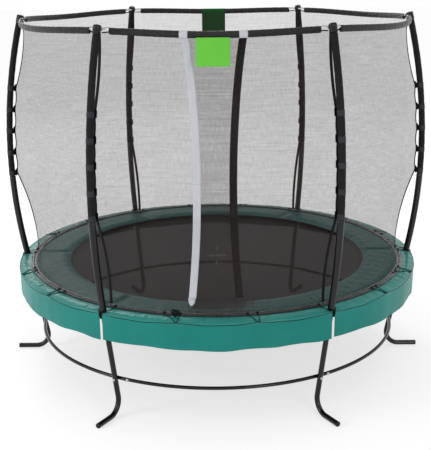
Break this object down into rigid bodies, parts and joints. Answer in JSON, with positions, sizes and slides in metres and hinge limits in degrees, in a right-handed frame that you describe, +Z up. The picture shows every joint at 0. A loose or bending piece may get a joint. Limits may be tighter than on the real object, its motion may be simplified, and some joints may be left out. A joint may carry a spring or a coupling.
{
  "type": "backyard trampoline",
  "caption": "Round backyard trampoline on curved legs, with a padded spring cover, a hanging skirt and a net enclosure on curved posts with an overlapping entrance.",
  "frame": {"origin": "on the ground under the centre of the jumping mat", "axes": "+Z up; -Y towards the entrance of the net; the first post stands on +X"},
  "size_m": [3.272, 3.106, 2.6898],
  "materials": {
    "powder_coat": "semi-gloss",
    "spring_steel": "zinc plated",
    "black_plastic": "satin",
    "sleeve_fabric": "matt",
    "hoop_rod": "satin",
    "net_mesh": "open mesh",
    "hem_vinyl": "gloss",
    "pad_vinyl": "semi-gloss",
    "mat_mesh": "matt",
    "dark_webbing": "matt",
    "pale_webbing": "reflective",
    "bright_patch": "matt",
    "dark_patch": "matt"
  },
  "bodies": {
    "frame": {"frame_segment_1": "powder_coat", "frame_segment_2": "powder_coat", "frame_segment_3": "powder_coat", "frame_segment_4": "powder_coat", "frame_segment_5": "powder_coat", "frame_segment_6": "powder_coat", "leg_1": "powder_coat", "leg_2": "powder_coat", "leg_3": "powder_coat", "leg_4": "powder_coat", "leg_5": "powder_coat", "leg_6": "powder_coat", "foot_plug_1": "black_plastic", "foot_plug_2": "black_plastic", "foot_plug_3": "black_plastic", "foot_plug_4": "black_plastic", "foot_plug_5": "black_plastic", "foot_plug_6": "black_plastic", "ground_ring_segment_1": "powder_coat", "ground_ring_segment_2": "powder_coat", "ground_ring_segment_3": "powder_coat", "ground_ring_segment_4": "powder_coat", "ground_ring_segment_5": "powder_coat", "ground_ring_segment_6": "powder_coat", "post_1": "powder_coat", "post_2": "powder_coat", "post_3": "powder_coat", "post_4": "powder_coat", "post_5": "powder_coat", "post_6": "powder_coat", "post_sleeve_1": "sleeve_fabric", "post_sleeve_2": "sleeve_fabric", "post_sleeve_3": "sleeve_fabric", "post_sleeve_4": "sleeve_fabric", "post_sleeve_5": "sleeve_fabric", "post_sleeve_6": "sleeve_fabric", "post_cap_1": "black_plastic", "post_cap_2": "black_plastic", "post_cap_3": "black_plastic", "post_cap_4": "black_plastic", "post_cap_5": "black_plastic", "post_cap_6": "black_plastic", "top_hoop": "hoop_rod", "mat_rim_with_springs": "spring_steel", "safety_pad": "pad_vinyl", "net_hem": "hem_vinyl", "net_panel_1": "net_mesh", "net_panel_2": "net_mesh", "net_panel_3": "net_mesh", "net_panel_4": "net_mesh", "net_panel_5": "net_mesh", "entrance_panel_outer": "net_mesh", "entrance_panel_inner": "net_mesh", "patch_front": "bright_patch", "patch_back": "dark_patch"},
    "mat": {"jumping_mat": "mat_mesh"},
    "flap_outer": {"entrance_flap_outer": "net_mesh", "entrance_strip_outer": "pale_webbing"},
    "flap_inner": {"entrance_flap_inner": "net_mesh", "entrance_strip_inner": "dark_webbing"}
  },
  "joints": [
    {"name": "mat_bounce", "type": "slide", "parent": "frame", "child": "mat", "axis": [0, 0, 1], "range_m": [-0.4, 0], "stiffness_N_per_m": 6000, "springref_m": 0.03},
    {"name": "flap_outer_draw", "type": "slide", "parent": "frame", "child": "flap_outer", "axis": [0, -1, 0], "range_m": [0, 0.3], "stiffness_N_per_m": 100},
    {"name": "flap_inner_draw", "type": "slide", "parent": "frame", "child": "flap_inner", "axis": [0, 1, 0], "range_m": [0, 0.3], "stiffness_N_per_m": 100}
  ]
}
